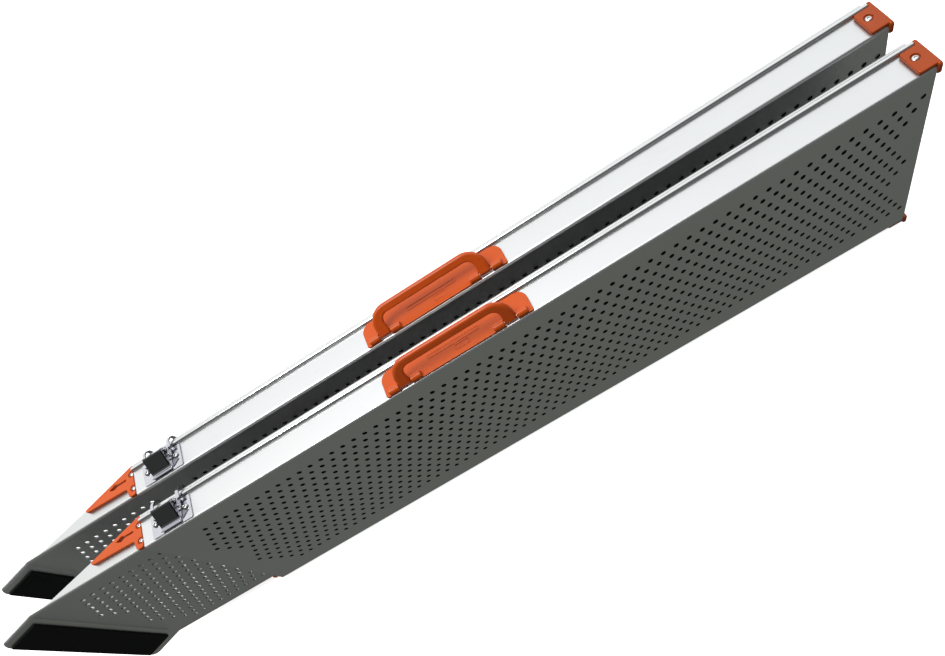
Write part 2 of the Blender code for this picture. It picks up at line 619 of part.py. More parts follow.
# ---- assembly -----------------------------------------------------------------------------------
def empty(name, parent, at):
    made = bpy.data.objects.new(name, None)
    made.empty_display_size = 0.03
    made.parent = parent
    made.location = at
    RAMP.objects.link(made)
    return made


def place_track(name, root, offset, handle_angle):
    track = empty(f"{name}_track", root, (0, offset, 0))
    # the inner channel and all that is fixed to it slide along -X from this empty
    homes = {
        "outer": track,
        "inner": empty(f"{name}_telescope", track, (0, 0, 0)),
        "bail": empty(f"{name}_handle_hinge", track, (HANDLE_X, PIVOT_Y, above(PIVOT_Z))),
        "lever": empty(f"{name}_lever_hinge", track, (LATCH_X, LEVER_PIN[0], above(LEVER_PIN[1]))),
        "hook": empty(f"{name}_hook_hinge", track, (LATCH_X, HOOK_PIN[0], above(HOOK_PIN[1]))),
    }
    homes["bail"].rotation_euler.x = handle_angle
    for key, (mesh, pivot, group) in PIECES.items():
        home = homes[group]
        obj = bpy.data.objects.new(f"{name}_{key}", mesh)
        RAMP.objects.link(obj)
        obj.parent = home
        if group in ("outer", "inner"):
            obj.location = pivot


clear_scene()
RAMP = collection("telescopic_ramp_pair")
CUTTERS = collection("cutters")
bpy.context.view_layer.active_layer_collection = bpy.context.view_layer.layer_collection.children["cutters"]
outer_channel()
inner_channel()
nose_pad()
end_cap()
cap_screws()
wedge()
handle_base()
handle_bail()
latch_plate()
latch_lever()
latch_hook()
strips()
frame = empty("ramp_frame", None, -ORIGIN)
place_track("front", frame, 0, FRONT_HANDLE_RAISED)
place_track("back", frame, SPACING, BACK_HANDLE_RAISED)
bpy.context.view_layer.update()
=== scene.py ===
"""The looks of a pair of telescopic wheelchair ramps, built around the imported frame.

Each track has its own coordinates, in millimetres: x from the outer channel's front edge to its rear,
y from the running plate's outer face into the trough, and h up from the upper wall's outer face.
Pieces are modelled once in those coordinates and placed on both tracks.
"""

import math

import bmesh
import bpy
from mathutils import Matrix, Vector

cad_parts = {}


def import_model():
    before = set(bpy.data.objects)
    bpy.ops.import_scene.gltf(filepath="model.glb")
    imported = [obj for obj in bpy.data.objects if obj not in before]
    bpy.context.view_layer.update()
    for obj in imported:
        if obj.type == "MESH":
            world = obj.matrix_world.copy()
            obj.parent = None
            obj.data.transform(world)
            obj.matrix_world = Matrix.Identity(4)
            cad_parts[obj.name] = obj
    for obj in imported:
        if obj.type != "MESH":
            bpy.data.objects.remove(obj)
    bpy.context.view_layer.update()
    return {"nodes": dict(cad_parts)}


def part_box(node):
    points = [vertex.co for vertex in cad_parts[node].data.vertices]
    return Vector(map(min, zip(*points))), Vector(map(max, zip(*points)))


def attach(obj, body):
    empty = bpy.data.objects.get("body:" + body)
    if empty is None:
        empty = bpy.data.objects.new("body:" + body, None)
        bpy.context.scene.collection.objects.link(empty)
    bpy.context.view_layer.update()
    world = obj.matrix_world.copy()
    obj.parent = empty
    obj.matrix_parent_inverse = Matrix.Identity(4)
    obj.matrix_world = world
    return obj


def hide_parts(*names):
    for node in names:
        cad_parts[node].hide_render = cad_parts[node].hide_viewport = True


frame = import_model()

MM = 0.001
TRACKS = ("front", "back")

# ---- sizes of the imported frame, in millimetres ---------------------------------------------------
BEAD_UP = 4.5                       # the rolled edges stand this far above the walls
LOW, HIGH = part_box("front_outer_channel")
LENGTH = (HIGH.x - LOW.x) / MM
WIDTH = (HIGH.z - LOW.z) / MM - 2 * BEAD_UP
MIDDLE = -WIDTH / 2                 # h half way down the running plate
GAP = 0.3                           # clearance between pieces that touch

# The outer channel
SHEET, FOLD_R = 2.5, 4.2            # its thickness, and the outside radius of its folds
BEAD_Y, BEAD_R = 38.9, 3.5          # centre and radius of its rolled edges
WALL_STOP = 30.0                    # y where the last plain strip of its walls begins

# The inner channel, whose plate and walls lie INSET inside the outer one's faces
INSET = 4.2
IN_WIDTH, IN_SHEET = 248.5, 2.3
IN_MIDDLE = -INSET - IN_WIDTH / 2
IN_BEAD_Y, IN_BEAD_R = 45.1, 3.3
IN_REAR = LENGTH - 3.0
KINK_X, NOSE = -192.0, 51.5         # where the nose bends outwards, and how long it is
NOSE_ANGLE = math.radians(19.2)
NOSE_LIP, NOSE_CORNER = 3.0, 9.0    # how high its sides stand, and the radius of its corners
TAPER_END, TAPER_TOP = (-164.7, 7.2), (-29.6, 41.3)     # x and y of both ends of the walls' slope

PAD_X, PAD_RISE = (-50.8, -8.8), 2.5    # the nose's pad: from and to this far from the bend, and its face
PAD_UPPER, PAD_LOWER = 12.6, 15.8   # how far it stays from the nose's upper and lower edges

# End caps and wedges
CAP_START, CAP_END = LENGTH - 18.5, LENGTH + GAP + 4.2
CAP_Y, CAP_FLANGE_Y, CAP_FLANGE_LOW = (1.6, 34.9), (-1.8, 42.8), -9.0
CAP_SCREW = (LENGTH - 9.4, 21.5)
CAP_SEAT = BEAD_UP - 2.2            # floor of the counterbore for the screw's head
WEDGE_LOW, WEDGE_HIGH = -INSET + GAP, -INSET + GAP + 4.9
WEDGE_SCREWS = ((-4.1, 34.0), (-4.1, 13.2))
WEDGE_SEAT = WEDGE_HIGH - 2.4

# Handle
HANDLE_X = 453.9
PIVOT = (5.5, 4.8)                  # y and h of its hinge
LEG_X, LEG_HALF = 69.5, 7.5         # middle of each leg of the bail, and half its width
GRIP_Y = 32.5                       # centre line of the grip before the bail is raised
BAIL_LOW, BAIL_HIGH = 3.2, 9.0
RAISED = {"front": math.radians(68), "back": math.radians(50)}      # how far each bail stands up at rest
BASE_HALF, BASE_Y, BASE_TOP = 96.8, (1.8, 35.0), GAP + 2.6
BASE_LINES = (((419, 487), (18.2, 23.6), 0.8, 1.3), ((453, 472), (9, 16), 0.7, 1.2))     # x, y, width, corner
LINE_RISE = 0.45
NOTCH = (LEG_X - LEG_HALF - 0.5, LEG_X + LEG_HALF + 0.5)            # the base's notch for a leg
KNUCKLE = 13.5                      # length of the hinge's knuckles
HINGE_REACH = (53, 85)              # its pins reach from and to this far on both sides of the handle's middle
HINGE_PIN_R, HINGE_BORE_R = 1.5, 1.8

# Toggle latch
LATCH_X = 46.0
LATCH_SCREWS, LATCH_SCREW_Y = (-23, 23), 20
LATCH_HALF, LATCH_Y, LATCH_TOP = 30, (3, 34.6), GAP + 1.5
LUG, LEVER_FLANGE = (15, 16.4), (13.2, 14.6)            # from and to this far on both sides of LATCH_X
HOOK_ARM, HOOK_STRAP = (17.2, 19.0), (17.1, 21.5)
LEVER_PIN, HOOK_PIN = (31.5, 10.0), (24.0, 7.0)         # y and h
LEVER_PIN_R, LEVER_PIN_HALF, LEVER_BORE_R = 1.5, 16.9, 1.7
HOOK_PIN_R, HOOK_PIN_HALF, HOOK_BORE_R = 1.3, 19.4, 1.5
LEVER_TOP, LEVER_SHEET = (29.8, 17.0), 1.2              # y and h of its upper end, and its thickness
COVER_HALF, COVER_Y = 13.6, (-21.8, -1.4)               # along the lever's slope, down from its upper end

# Perforation
PITCH, ROW_STEP = 16.0, 13.88
ZIGZAG = (0, 1, 2, 3, 4, 3, 2, 1, 2, 3, 4, 3, 2, 1, 0)  # each row's start, in half pitches towards the nose
HOLE_R, HOLE_RIM, HOLE_SIDES = 3.15, 0.15, 16
FIRST_STEP = 5                      # the line of the grid that the first row's first hole is on
OUTER_GRID, OUTER_ROW, OUTER_HOLES = 22.6, -32.4, 60    # x of the first line, h of the first row, holes a row
INNER_GRID, INNER_ROW, INNER_HOLES = -177.0, -33.5, 72
OUTER_BORE_PAINTED_SHADE, INNER_BORE_PAINTED_SHADE = 1.0, 0.35  # how much painted shade darkens the holes' walls; the nose's holes are open behind

# Fineness of the meshes
FOLD_STEPS, BEAD_STEPS = 6, 22
WELD, FINE_WELD = 1e-3, 1e-4
CREASE, WIDE_CREASE, NO_CREASE = 32, 40, 180    # degrees between two faces from which their edge is a crease


def homes():
    """For each track, the matrix from its own coordinates to the frame's."""
    made = {}
    for track in TRACKS:
        low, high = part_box(f"{track}_outer_channel")
        made[track] = Matrix.Translation((low.x, low.y, high.z - BEAD_UP * MM)) @ Matrix.Scale(MM, 4)
    return made


HOMES = homes()


# ---- materials -----------------------------------------------------------------------------------
FACTOR, COLOUR_A, COLOUR_B, COLOUR_OUT = 0, 6, 7, 2      # sockets of a mix node that mixes colours


class Shader:
    """A Principled material with procedural textures read in the object's own coordinates."""

    def __init__(self, name, colour, metallic, roughness):
        self.material = bpy.data.materials.new(name)
        self.material.use_nodes = True
        self.tree = self.material.node_tree
        self.shader = self.tree.nodes["Principled BSDF"]
        self.shader.inputs["Base Color"].default_value = (*colour, 1)
        self.shader.inputs["Metallic"].default_value = metallic
        self.shader.inputs["Roughness"].default_value = roughness
        self.colour, self.roughness = colour, roughness
        self.place = self.node("ShaderNodeTexCoord").outputs["Object"]

    def node(self, kind, **values):
        made = self.tree.nodes.new(kind)
        for key, value in values.items():
            setattr(made, key, value)
        return made

    def link(self, source, target):
        self.tree.links.new(source, target)

    def noise(self, scale, stretch=(1, 1, 1), detail=3.0, rough=0.5):
        mapping = self.node("ShaderNodeMapping")
        mapping.inputs["Scale"].default_value = stretch
        self.link(self.place, mapping.inputs["Vector"])
        made = self.node("ShaderNodeTexNoise")
        made.inputs["Scale"].default_value = scale
        made.inputs["Detail"].default_value = detail
        made.inputs["Roughness"].default_value = rough
        self.link(mapping.outputs["Vector"], made.inputs["Vector"])
        return made.outputs["Fac"]

    def ramp(self, source, low, high, start=0.3, end=0.7):
        """Maps a texture's value from start..end to low..high."""
        made = self.node("ShaderNodeMapRange")
        made.inputs["From Min"].default_value = start
        made.inputs["From Max"].default_value = end
        made.inputs["To Min"].default_value = low
        made.inputs["To Max"].default_value = high
        self.link(source, made.inputs["Value"])
        return made.outputs["Result"]

    def mix(self, source, other):
        """Mixes the base colour so far with another colour by a texture."""
        made = self.node("ShaderNodeMix", data_type="RGBA")
        old = self.shader.inputs["Base Color"]
        if old.is_linked:
            self.link(old.links[0].from_socket, made.inputs[COLOUR_A])
        else:
            made.inputs[COLOUR_A].default_value = (*self.colour, 1)
        made.inputs[COLOUR_B].default_value = (*other, 1)
        self.link(source, made.inputs[FACTOR])
        self.link(made.outputs[COLOUR_OUT], old)

    def vary_roughness(self, source, spread):
        low, high = self.roughness - spread, self.roughness + spread
        self.link(self.ramp(source, low, high), self.shader.inputs["Roughness"])

    def smoother_edges(self, share):
        """Burnishes the rolled edges, which stand above the walls' faces, to a share of the roughness."""
        low, high = (corner.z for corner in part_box("front_outer_channel"))
        split = self.node("ShaderNodeSeparateXYZ")
        self.link(self.place, split.inputs[0])
        centred = self.node("ShaderNodeMath", operation="SUBTRACT")
        centred.inputs[1].default_value = (low + high) / 2
        self.link(split.outputs["Z"], centred.inputs[0])
        away = self.node("ShaderNodeMath", operation="ABSOLUTE")
        self.link(centred.outputs[0], away.inputs[0])
        wall = (high - low) / 2 - BEAD_UP * MM
        factor = self.ramp(away.outputs[0], 1.0, share, wall + 0.2 * MM, wall + 1.2 * MM)
        product = self.node("ShaderNodeMath", operation="MULTIPLY")
        self.link(self.shader.inputs["Roughness"].links[0].from_socket, product.inputs[0])
        self.link(factor, product.inputs[1])
        self.link(product.outputs[0], self.shader.inputs["Roughness"])

    def bump(self, source, distance, strength):
        made = self.node("ShaderNodeBump")
        made.inputs["Distance"].default_value = distance
        made.inputs["Strength"].default_value = strength
        normal = self.shader.inputs["Normal"]
        if normal.is_linked:
            self.link(normal.links[0].from_socket, made.inputs["Normal"])
        self.link(source, made.inputs["Height"])
        self.link(made.outputs["Normal"], normal)


def shade(colour, share, lift=0.0):
    """A darker or a paler version of a colour."""
    return tuple(min(1, c * share + lift) for c in colour)


def satin_aluminium(name, colour, roughness):
    """Anodised sheet: faint rolling lines along the track, a fine satin grain, handling marks, and painted shade
    in the holes' walls.
    """
    made = Shader(name, colour, 1.0, roughness)
    lines = made.noise(1.0, (3, 420, 420), 4.0, 0.6)
    grain = made.noise(1500, detail=1.0)
    clouds = made.noise(5.5, (0.5, 1, 1), 4.0, 0.6)
    marks = made.noise(38, (0.35, 1, 1), 5.0, 0.7)
    made.mix(made.ramp(clouds, 0, 0.5, 0.35, 0.75), shade(colour, 0.9))
    made.mix(made.ramp(marks, 0, 0.3, 0.6, 0.8), shade(colour, 0.78))
    made.vary_roughness(clouds, 0.035)
    made.smoother_edges(0.5)
    # painted shade: the holes' walls are darkened as far as each face's bore attribute asks
    bores = made.node("ShaderNodeAttribute", attribute_name="bore").outputs["Fac"]
    made.mix(bores, shade(colour, 0.12))
    made.bump(lines, 0.04 * MM, 0.35)
    made.bump(grain, 0.03 * MM, 0.3)
    return made.material


def moulded_plastic(name, colour, roughness, specular=0.35):
    """Injection-moulded plastic: a fine spark-eroded grain, slow unevenness, and rubbed patches."""
    made = Shader(name, colour, 0.0, roughness)
    grain = made.noise(900, detail=2.0)
    waves = made.noise(28, detail=2.0)
    rubbed = made.noise(60, detail=5.0, rough=0.65)
    made.mix(made.ramp(waves, 0, 0.5), shade(colour, 0.86))
    made.mix(made.ramp(rubbed, 0, 0.22, 0.58, 0.75), shade(colour, 1.25, 0.008))
    made.vary_roughness(rubbed, 0.06)
    made.bump(waves, 0.4 * MM, 0.15)
    made.bump(grain, 0.05 * MM, 0.25)
    made.shader.inputs["Specular IOR Level"].default_value = specular
    made.shader.inputs["Coat Weight"].default_value = specular * 0.4
    made.shader.inputs["Coat Roughness"].default_value = 0.12
    return made.material


def rubber(name, colour):
    """Black rubber with a coarse matt grain and paler dust in it."""
    made = Shader(name, colour, 0.0, 0.78)
    grain = made.noise(700, detail=3.0)
    dust = made.noise(45, detail=6.0, rough=0.7)
    made.mix(made.ramp(dust, 0, 0.35, 0.5, 0.8), shade(colour, 2.2, 0.002))
    made.vary_roughness(dust, 0.08)
    made.bump(grain, 0.2 * MM, 0.5)
    made.shader.inputs["Specular IOR Level"].default_value = 0.25
    return made.material


def plated_steel(name, colour, roughness):
    """Plated steel: almost a mirror, with fine polishing lines and slight clouding."""
    made = Shader(name, colour, 1.0, roughness)
    lines = made.noise(1.0, (120, 2200, 120), 2.0)
    clouds = made.noise(90, detail=4.0)
    made.mix(made.ramp(clouds, 0, 0.5, 0.45, 0.75), shade(colour, 0.86))
    made.vary_roughness(clouds, roughness * 0.35)
    made.bump(lines, 0.03 * MM, 0.25)
    return made.material


LOOKS = {
    "aluminium": satin_aluminium("satin_aluminium", (0.655, 0.665, 0.67), 0.36),
    "aluminium_inner": satin_aluminium("satin_aluminium_inner", (0.62, 0.63, 0.63), 0.40),
    "orange_plastic": moulded_plastic("orange_moulding", (0.58, 0.080, 0.002), 0.32, 0.28),
    "orange_cap": moulded_plastic("dark_orange_moulding", (0.385, 0.055, 0.002), 0.30, 0.25),
    "orange_grip": moulded_plastic("orange_grip_moulding", (0.56, 0.074, 0.003), 0.30),
    "black_rubber": rubber("black_rubber_pad", (0.0022, 0.0030, 0.0030)),
    "black_cover": moulded_plastic("black_cover_moulding", (0.019, 0.021, 0.0205), 0.5, 0.12),
    "chrome": plated_steel("bright_chrome", (0.56, 0.56, 0.60), 0.10),
    "chrome_lever": plated_steel("bright_chrome_lever", (0.38, 0.38, 0.42), 0.12),
    "zinc_steel": plated_steel("zinc_plated_steel", (0.66, 0.65, 0.65), 0.2),
    "glide_polymer": moulded_plastic("pale_glide_polymer", (0.72, 0.72, 0.70), 0.45),
}


# ---- mesh helpers --------------------------------------------------------------------------------
def tidy(mesh, weld=WELD):
    """Welds what coincides and turns every face outwards."""
    work = bmesh.new()
    work.from_mesh(mesh)
    bmesh.ops.remove_doubles(work, verts=work.verts, dist=weld)
    bmesh.ops.recalc_face_normals(work, faces=work.faces)
    work.to_mesh(mesh)
    work.free()
    return mesh


def solid(name, points, faces):
    mesh = bpy.data.meshes.new(name)
    mesh.from_pydata(points, [], faces)
    return tidy(mesh)


def loose(mesh):
    """A helper object that holds a mesh while it is worked on."""
    obj = bpy.data.objects.new("helper", mesh)
    bpy.context.scene.collection.objects.link(obj)
    return obj


def baked(obj):
    """The helper's mesh with its modifiers applied; the helper goes."""
    bpy.context.view_layer.update()
    graph = bpy.context.evaluated_depsgraph_get()
    mesh = bpy.data.meshes.new_from_object(obj.evaluated_get(graph), depsgraph=graph)
    mesh.transform(obj.matrix_world)
    mesh.materials.clear()
    bpy.data.objects.remove(obj, do_unlink=True)
    return mesh


YZ = Matrix(((0, 0, 1, 0), (1, 0, 0, 0), (0, 1, 0, 0), (0, 0, 0, 1)))   # outline y,h, extruded along x
XZ = Matrix(((1, 0, 0, 0), (0, 0, -1, 0), (0, 1, 0, 0), (0, 0, 0, 1)))  # outline x,h, extruded along y
XY = Matrix.Identity(4)


def slab(outlines, low, high, plane=XY, bevel=0.0, steps=3):
    """A flat outline, with holes if it has more than one loop, between two levels, its edges rounded."""
    curve = bpy.data.curves.new("outline", "CURVE")
    curve.dimensions = "2D"
    curve.fill_mode = "BOTH"
    curve.extrude = (high - low) / 2 - bevel
    curve.bevel_depth = bevel
    curve.offset = -bevel
    curve.bevel_resolution = steps - 1
    for points in outlines:
        spline = curve.splines.new("POLY")
        spline.points.add(len(points) - 1)
        for made, point in zip(spline.points, points):
            made.co = (point[0], point[1], 0, 1)
        spline.use_cyclic_u = True
    guide = loose(curve)
    axis = plane.to_3x3() @ Vector((0, 0, 1))
    guide.matrix_world = Matrix.Translation(axis * (low + high) / 2) @ plane
    return tidy(baked(guide), FINE_WELD)


def rounded(corners, steps=6):
    """An outline with its corners rounded: corners are (u, v, radius)."""
    points = []
    count = len(corners)
    for i, (u, v, radius) in enumerate(corners):
        here = Vector((u, v))
        if radius <= 0:
            points.append(here)
            continue
        before = (Vector(corners[i - 1][:2]) - here).normalized()
        after = (Vector(corners[(i + 1) % count][:2]) - here).normalized()
        half = before.angle(after) / 2
        reach = radius / math.tan(half)
        centre = here + (before + after).normalized() * (radius / math.sin(half))
        start, end = here + before * reach - centre, here + after * reach - centre
        turn = start.angle_signed(end)
        for k in range(steps + 1):
            points.append(centre + Matrix.Rotation(-turn * k / steps, 2) @ start)
    return points


def arc(u, v, radius, start, end, steps):
    """Points on an arc, with its angles in degrees."""
    angles = [math.radians(start + (end - start) * k / steps) for k in range(steps + 1)]
    return [(u + radius * math.cos(a), v + radius * math.sin(a)) for a in angles]


def block(x, y, h):
    """A box between limits, for cutting and joining."""
    points = [(a, b, c) for a in x for b in y for c in h]
    faces = [(0, 1, 3, 2), (4, 6, 7, 5), (0, 4, 5, 1), (2, 3, 7, 6), (0, 2, 6, 4), (1, 5, 7, 3)]
    return solid("block", points, faces)


def tube(name, points, sides):
    """A closed solid through rings of points, with its first and last ring filled."""
    faces = []
    for i in range(len(points) // sides - 1):
        for k in range(sides):
            n = (k + 1) % sides
            faces.append((i * sides + k, i * sides + n, (i + 1) * sides + n, (i + 1) * sides + k))
    faces += [tuple(range(sides)), tuple(range(len(points) - sides, len(points)))]
    return solid(name, points, faces)


def turned(profile, at, axis="Z", sides=32, hexagon=()):
    """A profile of (radius, distance) turned about an axis through `at`.

    The points of the profile whose numbers are in `hexagon` lie on a hexagon, and the others on a circle.
    """
    points = []
    for i, (radius, along) in enumerate(profile):
        for k in range(sides):
            angle = 2 * math.pi * k / sides
            reach = radius
            if i in hexagon:
                reach = radius / math.cos((angle % (math.pi / 3)) - math.pi / 6)
            points.append((reach * math.cos(angle), reach * math.sin(angle), along))
    mesh = tube("turned", points, sides)
    if axis == "X":
        mesh.transform(Matrix.Rotation(math.pi / 2, 4, "Y"))
    mesh.transform(Matrix.Translation(at))
    return mesh


def bore(radius, at, low, high):
    """A cutter for a hole along h."""
    return turned([(radius, low), (radius, high)], (*at, 0))


def hinge_bore(low, high):
    """A cutter for a hole along the handle's hinge."""
    return turned([(HINGE_BORE_R, low), (HINGE_BORE_R, high)], (0, *PIVOT), "X", 28)


def either_side(middle, near, far):
    """The two ranges that reach from `near` to `far` away from a middle."""
    return [sorted((middle + side * near, middle + side * far)) for side in (-1, 1)]


def boolean(mesh, others, operation):
    helper = loose(mesh)
    cutters = [loose(other) for other in others]
    for cutter in cutters:
        modifier = helper.modifiers.new("Boolean", "BOOLEAN")
        modifier.operation, modifier.solver, modifier.object = operation, "EXACT", cutter
    made = baked(helper)
    for cutter in cutters:
        bpy.data.objects.remove(cutter, do_unlink=True)
    return tidy(made, FINE_WELD)


def join(mesh, *others):
    return boolean(mesh, others, "UNION")


def cut(mesh, *others):
    return boolean(mesh, others, "DIFFERENCE")


def moulded(mesh, voxel=0.4, rounds=4):
    """Re-meshes a solid as one skin and softens its edges and inner corners, as a mould leaves them."""
    helper = loose(mesh)
    remesh = helper.modifiers.new("Remesh", "REMESH")
    remesh.mode, remesh.voxel_size, remesh.adaptivity = "VOXEL", voxel, 0.0
    smooth = helper.modifiers.new("Smooth", "SMOOTH")
    smooth.factor, smooth.iterations = 0.5, rounds
    return baked(helper)


def place(name, mesh, part, look, crease=CREASE, turn=None):
    """Puts a copy of the mesh on each track, riding on that track's `part` and standing for its CAD node."""
    for track in TRACKS:
        copy = mesh.copy()
        copy.name = f"{track}_{name}_mesh"
        if turn:
            copy.transform(turn[track])
        copy.transform(HOMES[track])
        copy.materials.clear()
        copy.materials.append(LOOKS[look])
        copy.shade_smooth()
        copy.set_sharp_from_angle(angle=math.radians(crease))
        obj = bpy.data.objects.new(f"{track}_{name}_skin", copy)
        bpy.context.scene.collection.objects.link(obj)
        weighted = obj.modifiers.new("Even shading", "WEIGHTED_NORMAL")
        weighted.keep_sharp = True
        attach(obj, f"{track}_{part}")
        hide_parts(f"{track}_{name}")
    bpy.data.meshes.remove(mesh)


def mirrored(mesh, middle):
    """The twin of a mesh on the lower wall."""
    made = mesh.copy()
    made.transform(Matrix.Translation((0, 0, 2 * middle)) @ Matrix.Diagonal((1, 1, -1, 1)))
    made.flip_normals()
    return made


# ---- perforated channels -------------------------------------------------------------------------
class Station:
    """One cross-section of a channel.

    It has a place, the number of its line in the perforation's grid, how far its walls reach where they are cut
    back, and how far a rounded corner pulls its plate in. A twin is at the same place as the next station, where
    the rolled edge starts.
    """

    def __init__(self, matrix, step=None, clip=None, inset=0.0, twin=False):
        self.matrix, self.step, self.clip, self.inset, self.twin = matrix, step, clip, inset, twin

    def at(self, y, h, side=0):
        """A point of the section. Side is 1 on the upper wall, -1 on the lower one and 0 on the plate."""
        return self.matrix @ Vector((0, y, h - side * self.inset))


def clipped(path, limit):
    """The path with every point past y = limit drawn back to where it crosses that line."""
    made = []
    for y, h in path:
        if limit is not None and y > limit:
            y0, h0 = made[-1]
            share = 0 if y == y0 else (limit - y0) / (y - y0)
            y, h = y0 + share * (y - y0), h0 + share * (h - h0)
        made.append((y, h))
    return made


class Channel:
    """A folded channel with rolled edges and a perforated plate, as one closed mesh.

    Its section runs from the lower wall's end round the plate to the upper wall's end, once on the outside and
    once on the inside of the sheet. The plate is a grid with a line at every half pitch along it and at every
    half row across it. Where a hole lies, its quarter is left out of each of the four cells round it.
    """

    def __init__(self, stations, top, bottom, sheet, bead, wall_stop, first_row, holes, bore_painted_shade):
        bead_y, bead_r = bead
        rise = bead_r - sheet                       # the rolled edge's centre above the wall
        reach = math.sqrt(bead_r**2 - rise**2)
        self.outside = arc(FOLD_R, -FOLD_R, FOLD_R, 180, 90, FOLD_STEPS)
        self.outside += [(wall_stop, 0), (bead_y - reach, 0)]
        self.inside = arc(FOLD_R, -FOLD_R, FOLD_R - sheet, 180, 90, FOLD_STEPS)
        self.inside += [(wall_stop, -sheet), (bead_y, -sheet)]
        start = 180 + math.degrees(math.asin(rise / bead_r))
        self.bead = arc(bead_y, rise, bead_r, start, -90, BEAD_STEPS)[1:-1]
        self.stations, self.top, self.bottom = stations, top, bottom
        # the last argument is how much painted shade the holes' walls get
        self.sheet, self.holes, self.bore_painted_shade = sheet, holes, bore_painted_shade
        self.rows = len(ZIGZAG)
        half = ROW_STEP / 2
        self.levels = [first_row + half - half * k for k in range(2 * self.rows + 1)][::-1]
        self.side = len(self.outside)                       # points of the section on each wall
        self.count = 2 * self.side + len(self.levels)       # and in all
        self.points, self.faces, self.index = [], [], {}
        self.sections = [[self.section(s, skin) for skin in (0, 1)] for s in stations]

    def section(self, station, skin):
        """A station's points on the outside (skin 0) or the inside (skin 1) of the sheet."""
        path = clipped(self.inside if skin else self.outside, station.clip)
        below = [station.at(y, self.bottom - h, -1) for y, h in reversed(path)]
        plate = [station.at(self.sheet * skin, level) for level in self.levels]
        return below + plate + [station.at(y, self.top + h, 1) for y, h in path]

    def vertex(self, key, point):
        """The number of the mesh's vertex with this key, made the first time it is asked for."""
        if key not in self.index:
            self.index[key] = len(self.points)
            self.points.append(point)
        return self.index[key]

    def corner(self, skin, a, p):
        """Point p of the section at station a."""
        return self.vertex((skin, a, p), self.sections[a][skin][p])

    def rim(self, layer, a, p, k):
        """A point of the hole at this grid point. Layer 0 is outside, 1 is below the rim, and 2 is inside."""
        k %= HOLE_SIDES
        radius = HOLE_R + (HOLE_RIM if layer == 0 else 0)
        depth = (0, HOLE_RIM, self.sheet)[layer]
        angle = 2 * math.pi * k / HOLE_SIDES
        x, h = radius * math.cos(angle), self.levels[p - self.side] + radius * math.sin(angle)
        return self.vertex((layer, a, p, k), self.stations[a].matrix @ Vector((x, depth, h)))

    def rolled(self, a, up):
        """The rolled edge's outline at a station, from the wall's outer face round to its inner face."""
        end = self.count - 1 if up else 0
        made = [self.corner(0, a, end)]
        for i, (y, h) in enumerate(self.bead):
            place = self.stations[a].at(y, self.top + h if up else self.bottom - h)
            made.append(self.vertex(("bead", up, a, i), place))
        return made + [self.corner(1, a, end)]

    def hole_at(self, row, step):
        """Whether a hole of this row is centred on this line of the grid."""
        if step is None:
            return False
        k = step - (FIRST_STEP - ZIGZAG[row])
        return k >= 0 and k % 2 == 0 and k // 2 < self.holes

    def bite(self, a, p):
        """The hole's station and the far one, then its line and the far one, for a cell that holds a quarter."""
        strip = p - self.side
        here, there = self.stations[a], self.stations[a + 1]
        if here.step is None or there.step is None or not 0 <= strip < 2 * self.rows:
            return None
        row = self.rows - 1 - strip // 2
        hole_p = p + 1 if strip % 2 == 0 else p
        if self.hole_at(row, here.step):
            return a, a + 1, hole_p, 2 * p + 1 - hole_p
        if self.hole_at(row, there.step):
            return a + 1, a, hole_p, 2 * p + 1 - hole_p
        return None

    def cell(self, a, p):
        """The outside and inside faces between two stations and two points of their sections."""
        bite = self.bite(a, p)
        for skin in (0, 1):
            if not bite:
                self.faces.append([self.corner(skin, a, p), self.corner(skin, a + 1, p),
                                   self.corner(skin, a + 1, p + 1), self.corner(skin, a, p + 1)])
                continue
            hole_a, far_a, hole_p, far_p = bite
            quarter = HOLE_SIDES // 4
            across = quarter if far_p > hole_p else 3 * quarter
            along = 2 * quarter if far_a < hole_a else (0 if far_p > hole_p else 4 * quarter)
            turn = 1 if along > across else -1
            rim = [self.rim(2 * skin, hole_a, hole_p, k) for k in range(across, along + turn, turn)]
            self.faces.append([self.corner(skin, far_a, hole_p), self.corner(skin, far_a, far_p),
                               self.corner(skin, hole_a, far_p)] + rim)

    def bores(self, a):
        """The walls of the holes centred at a station."""
        for row in range(self.rows):
            if not self.hole_at(row, self.stations[a].step):
                continue
            p = self.side + 2 * (self.rows - 1 - row) + 1
            for k in range(HOLE_SIDES):
                for layer in (0, 1):
                    self.faces.append([self.rim(layer, a, p, k), self.rim(layer, a, p, k + 1),
                                       self.rim(layer + 1, a, p, k + 1), self.rim(layer + 1, a, p, k)])

    def edges(self, a):
        """The rolled edges from one station to the next, or the cut edges where the walls are cut back."""
        rolled = self.stations[a].clip is None
        for up in (False, True):
            end, inner = (self.count - 1, self.count - 2) if up else (0, 1)
            if rolled:
                here, there = self.rolled(a, up), self.rolled(a + 1, up)
                for i in range(len(here) - 1):
                    self.faces.append([here[i], there[i], there[i + 1], here[i + 1]])
            elif self.stations[a].twin:
                self.faces.append([self.corner(0, a + 1, inner), *self.rolled(a + 1, up),
                                   self.corner(1, a + 1, inner)])
            else:
                self.faces.append([self.corner(0, a, end), self.corner(0, a + 1, end),
                                   self.corner(1, a + 1, end), self.corner(1, a, end)])

    def ends(self):
        """The cut faces at both ends of the channel."""
        for a in (0, len(self.stations) - 1):
            for p in range(self.count - 1):
                self.faces.append([self.corner(0, a, p), self.corner(0, a, p + 1),
                                   self.corner(1, a, p + 1), self.corner(1, a, p)])
            if self.stations[a].clip is None:
                self.faces += [self.rolled(a, up) for up in (False, True)]

    def mesh(self, name):
        for a in range(len(self.stations) - 1):
            if not self.stations[a].twin:
                for p in range(self.count - 1):
                    self.cell(a, p)
                self.bores(a)
            self.edges(a)
        self.ends()
        made = solid(name, self.points, self.faces)
        self.paint_bore_shade(made)
        return made

